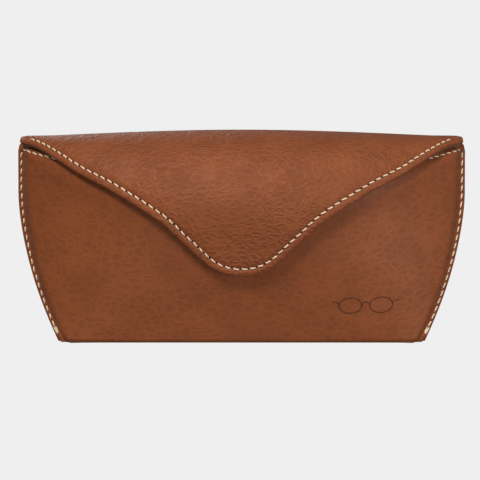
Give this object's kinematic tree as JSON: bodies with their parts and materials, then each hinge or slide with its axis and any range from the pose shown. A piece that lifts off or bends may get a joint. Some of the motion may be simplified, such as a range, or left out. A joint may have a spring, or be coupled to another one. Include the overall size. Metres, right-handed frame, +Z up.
{
  "type": "eyeglasses case",
  "caption": "Soft eyeglasses case that stands on a narrow base, with a bowed front, a leaning flat back and a bell-shaped magnetic flap.",
  "frame": {"origin": "middle of the footprint, on the surface that the case stands on", "axes": "+X to the right of a person who faces the front, +Y to the back, +Z up; the front faces -Y"},
  "size_m": [0.1646, 0.0425, 0.0764],
  "materials": {
    "leather": "satin",
    "lining": "matte",
    "board": "matte",
    "magnet": "satin",
    "thread": "matte"
  },
  "bodies": {
    "case_body": {"front_leather": "leather", "front_board": "board", "front_magnet": "magnet", "front_lining": "lining", "back_leather": "leather", "back_board": "board", "back_lining": "lining", "base_leather": "leather", "base_board": "board", "base_lining": "lining", "opening_stitching": "thread", "left_seam_stitching": "thread", "right_seam_stitching": "thread"},
    "flap": {"flap_leather": "leather", "flap_board": "board", "flap_magnet": "magnet", "flap_lining": "lining", "flap_stitching": "thread"}
  },
  "joints": [
    {"name": "flap_hinge", "type": "hinge", "parent": "case_body", "child": "flap", "pos_m": [0, 0.02267, 0.069], "axis": [-1, 0, 0], "range_deg": [0, 135]}
  ]
}
